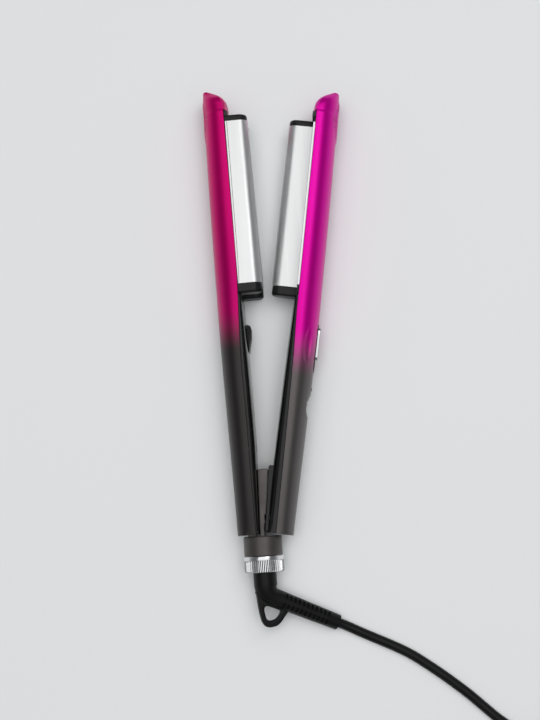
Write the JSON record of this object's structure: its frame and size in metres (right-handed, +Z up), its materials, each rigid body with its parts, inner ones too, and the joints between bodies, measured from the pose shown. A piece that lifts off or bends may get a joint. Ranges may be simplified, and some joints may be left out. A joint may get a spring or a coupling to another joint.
{
  "type": "hair crimper",
  "caption": "Electric hair waver: two sprung arms with interlocking metal barrel jaws, thumb slider, power button, swivel cord and flat plug.",
  "frame": {"origin": "on the surface it lies on, under the middle of the box round everything but the cord, its coil and its plug", "axes": "+Y along the collar toward the jaw tips, +X toward the hinged right arm, +Z up from the table"},
  "size_m": [0.2714, 0.5673, 0.041],
  "materials": {
    "lacquer": "metallic magenta lacquer that fades to charcoal toward the hinge",
    "gloss_black": "gloss black",
    "heat_proof": "matte black",
    "plate": "smooth satin coating",
    "cap": "satin dark grey",
    "ceramic": "matte",
    "steel": "plain",
    "tin": "tinned",
    "bead": "sealed bead",
    "grip": "fine matte",
    "wire": "silicone sleeve",
    "board": "coated board",
    "switch": "moulded",
    "light": "clear red lens",
    "housing": "satin dark grey",
    "chrome": "polished",
    "rubber": "smooth black"
  },
  "bodies": {
    "left_arm": {"left_shell": "lacquer", "left_liner": "gloss_black", "left_carrier": "heat_proof", "left_jaw": "plate", "left_tip_cap": "cap", "left_heel_cap": "cap", "left_tip_block": "heat_proof", "left_heater_lower": "ceramic", "left_heater_upper": "ceramic", "left_heater_clip_lower": "steel", "left_heater_clip_upper": "steel", "left_thermal_fuse": "tin", "left_thermistor": "bead", "left_finger_ridge": "grip", "left_lead": "wire", "left_rear_screw": "steel", "left_front_screw": "steel", "hinge_housing": "housing", "hinge_pin": "steel", "opening_spring": "steel", "lock_ring": "chrome", "cord_tube": "rubber", "cord_coil": "rubber", "cord_tail": "rubber", "cord_tie": "heat_proof", "plug_body": "rubber", "plug_pin_left": "tin", "plug_pin_right": "tin"},
    "right_arm": {"right_shell": "lacquer", "right_liner": "gloss_black", "right_carrier": "heat_proof", "right_jaw": "plate", "right_tip_cap": "cap", "right_heel_cap": "cap", "right_tip_block": "heat_proof", "right_heater": "ceramic", "right_heater_clip": "steel", "right_thermistor": "bead", "right_lead": "wire", "right_rear_screw": "steel", "right_front_screw": "steel", "control_board": "board", "mode_switch": "switch", "button_switch": "switch", "controller_chip": "switch", "capacitor": "tin", "indicator_light": "light", "slider_bezel": "grip"},
    "mode_slider": {"mode_slider": "chrome"},
    "power_button": {"power_button": "chrome"},
    "swivel": {"swivel_core": "housing", "swivel_boot": "rubber"}
  },
  "joints": [
    {"name": "jaw_hinge", "type": "hinge", "parent": "left_arm", "child": "right_arm", "pos_m": [-0.01766, -0.1073, 0.02051], "axis": [0, 0, 1], "range_deg": [0, 7.3], "stiffness_Nm_per_rad": 2, "springref_deg": -14.32},
    {"name": "mode_slide", "type": "slide", "parent": "right_arm", "child": "mode_slider", "axis": [0.1762, 0.9843, 0], "range_m": [-0.006, 0]},
    {"name": "power_press", "type": "slide", "parent": "right_arm", "child": "power_button", "axis": [-0.9843, 0.1762, 0], "range_m": [0, 0.0008], "stiffness_N_per_m": 800, "springref_m": -0.0012},
    {"name": "cord_swivel", "type": "hinge", "parent": "left_arm", "child": "swivel", "pos_m": [-0.02498, -0.13885, 0.02051], "axis": [0, 1, 0], "continuous": true}
  ]
}
